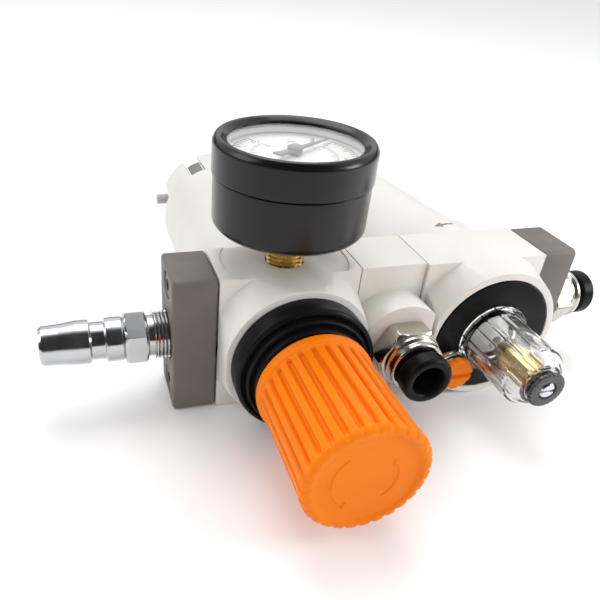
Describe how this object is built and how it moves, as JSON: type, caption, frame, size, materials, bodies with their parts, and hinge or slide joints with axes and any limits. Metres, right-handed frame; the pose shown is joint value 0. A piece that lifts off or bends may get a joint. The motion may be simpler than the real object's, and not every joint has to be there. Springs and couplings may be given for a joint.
{
  "type": "air pressure regulator",
  "caption": "Modular compressed-air service unit: filter-regulator with pull-out knob and gauge, take-off block and lubricator between end plates, with push-in fittings.",
  "frame": {"origin": "on the flat back face, straight under the middle of the filter-regulator's body, on the air line's centre plane", "axes": "+X follows the air from inlet to outlet, -Y points to the adjusting knob, +Z from the back face to the gauge"},
  "size_m": [0.1655, 0.1509, 0.0714],
  "materials": {
    "body_white": "satin off-white paint on cast metal",
    "plate_grey": "fine-grained matt warm grey",
    "bonnet_black": "satin black moulded plastic",
    "gauge_black": "semi-gloss black",
    "knob_orange": "satin orange moulded plastic",
    "clear_plastic": "clear polycarbonate",
    "smoke_plastic": "smoky grey knurled plastic",
    "window": "clear flat window",
    "steel": "bright plated steel",
    "nickel": "nickel-plated brass",
    "brass": "turned brass",
    "rubber": "black nitrile rubber",
    "dial_white": "matt white dial",
    "polymer": "sintered porous polymer",
    "guard_white": "satin off-white plastic",
    "latch_grey": "dark grey ribbed plastic"
  },
  "bodies": {
    "housing": {"inlet_end_plate": "plate_grey", "outlet_end_plate": "plate_grey", "inlet_clamp_screw_1": "steel", "inlet_clamp_screw_2": "steel", "outlet_clamp_screw_1": "steel", "outlet_clamp_screw_2": "steel", "seal_inlet": "rubber", "seal_takeoff": "rubber", "seal_lubricator": "rubber", "seal_outlet": "rubber", "filter_regulator_body": "body_white", "regulator_bonnet": "bonnet_black", "main_spring": "steel", "diaphragm": "rubber", "valve_spring": "steel", "gauge_stem": "brass", "gauge_case": "gauge_black", "gauge_bezel": "gauge_black", "gauge_window": "window", "gauge_spacer_ring": "dial_white", "gauge_dial": "dial_white", "gauge_movement": "brass", "bourdon_tube": "brass", "gauge_stop_pin": "steel", "inlet_nipple": "steel", "takeoff_block": "body_white", "takeoff_fitting": "nickel", "outlet_fitting": "nickel", "lubricator_body": "body_white", "lubricator_cover": "bonnet_black", "sight_dome": "clear_plastic", "needle_sleeve": "brass", "needle_seal": "rubber", "dome_tip_ring": "smoke_plastic", "drip_funnel": "guard_white", "fill_plug_seal": "rubber", "oil_pickup_tube": "clear_plastic", "filter_element": "polymer", "swirl_vane": "bonnet_black", "filter_baffle": "bonnet_black"},
    "adjusting_screw": {"adjusting_screw": "steel"},
    "knob": {"adjusting_knob": "knob_orange"},
    "spring_seat": {"spring_seat": "steel"},
    "valve": {"diaphragm_plate": "brass", "valve_poppet": "brass"},
    "pointer": {"gauge_pointer": "gauge_black"},
    "takeoff_collar": {"takeoff_release_collar": "bonnet_black"},
    "outlet_collar": {"outlet_release_collar": "bonnet_black"},
    "oil_screw": {"oil_screw": "steel"},
    "fill_plug": {"fill_plug": "knob_orange"},
    "filter_bowl": {"filter_bowl": "clear_plastic", "filter_bowl_guard": "guard_white", "guard_latch": "latch_grey"},
    "drain": {"drain_valve": "latch_grey"},
    "lubricator_bowl": {"lubricator_bowl": "clear_plastic", "lubricator_bowl_guard": "guard_white"}
  },
  "joints": [
    {"name": "knob_turn", "type": "hinge", "parent": "housing", "child": "adjusting_screw", "pos_m": [0, -0.04, 0.0198], "axis": [0, 1, 0], "range_deg": [-720, 720]},
    {"name": "knob_pull", "type": "slide", "parent": "adjusting_screw", "child": "knob", "axis": [0, -1, 0], "range_m": [0, 0.003]},
    {"name": "spring_seat_travel", "type": "slide", "parent": "housing", "child": "spring_seat", "axis": [0, 1, 0], "range_m": [-0.003, 0.003], "deforming": ["main_spring"]},
    {"name": "valve_lift", "type": "slide", "parent": "housing", "child": "valve", "axis": [0, 1, 0], "range_m": [0, 0.0008], "stiffness_N_per_m": 300, "deforming": ["main_spring", "valve_spring", "diaphragm"]},
    {"name": "gauge_needle", "type": "hinge", "parent": "housing", "child": "pointer", "pos_m": [0, 0, 0.066], "axis": [0, 0, -1], "range_deg": [0, 270]},
    {"name": "takeoff_release", "type": "slide", "parent": "housing", "child": "takeoff_collar", "axis": [0, 1, 0], "range_m": [0, 0.001], "stiffness_N_per_m": 400},
    {"name": "outlet_release", "type": "slide", "parent": "housing", "child": "outlet_collar", "axis": [-1, 0, 0], "range_m": [0, 0.001], "stiffness_N_per_m": 400},
    {"name": "oil_rate_turn", "type": "hinge", "parent": "housing", "child": "oil_screw", "pos_m": [0.057, -0.042, 0.0198], "axis": [0, -1, 0], "range_deg": [-180, 720]},
    {"name": "fill_plug_turn", "type": "hinge", "parent": "housing", "child": "fill_plug", "pos_m": [0.0454, -0.022, 0.0116], "axis": [0, -1, 0], "range_deg": [0, 720]},
    {"name": "filter_bowl_twist", "type": "hinge", "parent": "housing", "child": "filter_bowl", "pos_m": [0, 0.05, 0.0198], "axis": [0, 1, 0], "range_deg": [0, 45]},
    {"name": "drain_push", "type": "slide", "parent": "filter_bowl", "child": "drain", "axis": [0, -1, 0], "range_m": [0, 0.0015], "stiffness_N_per_m": 300},
    {"name": "lubricator_bowl_twist", "type": "hinge", "parent": "housing", "child": "lubricator_bowl", "pos_m": [0.057, 0.05, 0.0198], "axis": [0, 1, 0], "range_deg": [0, 45]}
  ],
  "couplings": [
    {"joint": "spring_seat_travel", "follows": "knob_turn", "m_per_rad": -0.00023873}
  ]
}
